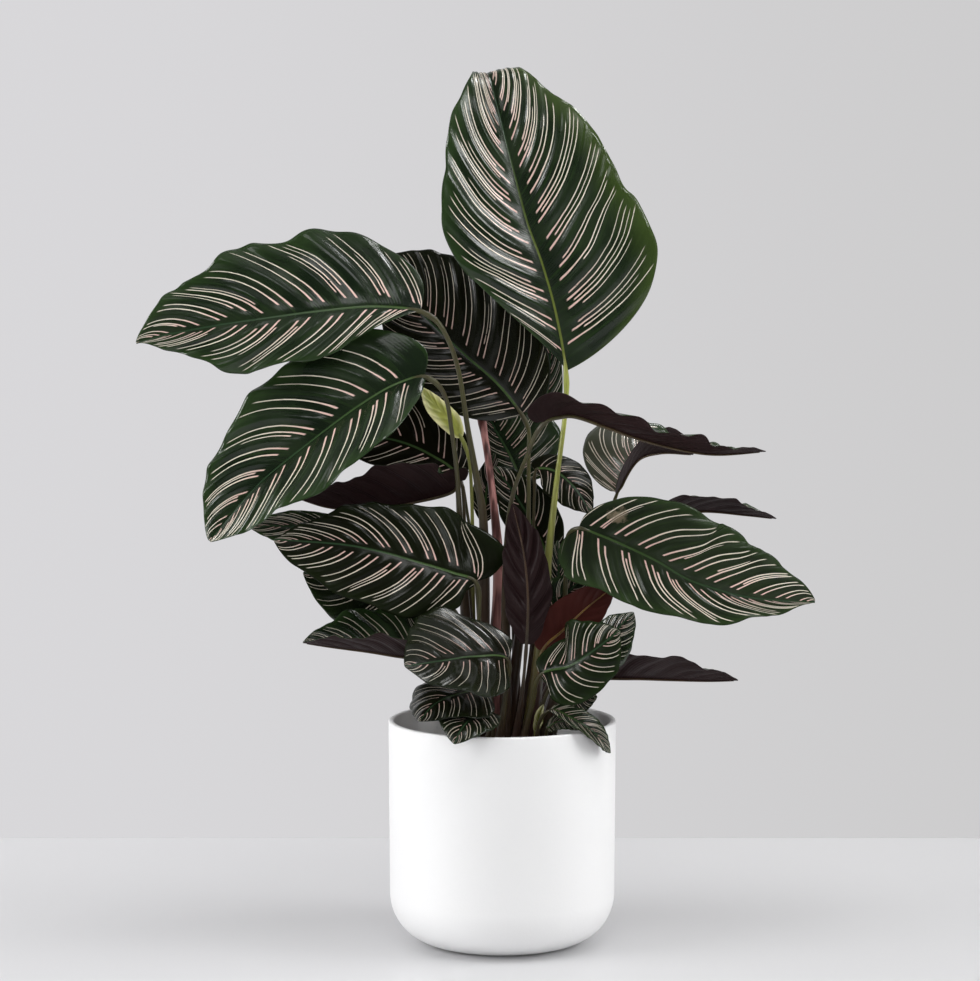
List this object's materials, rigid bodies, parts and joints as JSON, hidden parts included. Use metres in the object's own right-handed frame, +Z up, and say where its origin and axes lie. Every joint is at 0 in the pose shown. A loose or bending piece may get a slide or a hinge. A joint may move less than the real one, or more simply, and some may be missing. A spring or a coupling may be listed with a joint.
{
  "type": "potted calathea",
  "caption": "Pinstriped calathea with broad waved leaves on slim stems, standing in the soil of a white cylindrical pot with a rounded foot.",
  "frame": {"origin": "centre of the pot's flat foot, on the surface that the pot stands on", "axes": "+Z up along the pot's axis; -Y is the front of the plant; +X is to the right when seen from the front"},
  "size_m": [0.525, 0.2246, 0.6916],
  "materials": {
    "white_ceramic": "white ceramic with a satin glaze",
    "soil": "dark crumbly potting soil",
    "leaf": "dark green leaf with cream-pink pinstripes, purple underneath, softly glossy",
    "young_leaf": "pale yellow-green young leaf"
  },
  "bodies": {
    "root": {"pot": "white_ceramic", "soil": "soil", "leaf_top": "leaf", "leaf_upper_left": "leaf", "leaf_left": "leaf", "leaf_back_centre": "leaf", "leaf_upper_right": "leaf", "leaf_right_back": "leaf", "leaf_right": "leaf", "leaf_right_behind": "leaf", "leaf_left_back": "leaf", "leaf_left_under": "leaf", "leaf_left_front": "leaf", "leaf_low_left": "leaf", "leaf_low_left_edge": "leaf", "leaf_front_left": "leaf", "leaf_front_left_low": "leaf", "leaf_over_rim": "leaf", "leaf_front_right": "leaf", "leaf_right_low_glossy": "leaf", "leaf_right_red": "leaf", "leaf_centre_upright": "leaf", "leaf_right_rim": "leaf", "leaf_right_low_small": "leaf", "leaf_right_low": "leaf", "leaf_centre_back": "leaf", "leaf_back_green": "leaf", "leaf_back_striped": "leaf", "leaf_back_small": "leaf", "leaf_back_right_small": "leaf", "leaf_yellow_sliver": "young_leaf", "leaf_back_upper": "leaf", "leaf_new_rolled": "young_leaf", "leaf_in_pot": "leaf", "leaf_left_tip": "leaf", "leaf_right_inner": "leaf", "leaf_rear_upper": "leaf", "leaf_rear_left": "leaf", "leaf_rear_right": "leaf", "leaf_rear_low_left": "leaf", "leaf_rear_low_right": "leaf"}
  },
  "joints": []
}
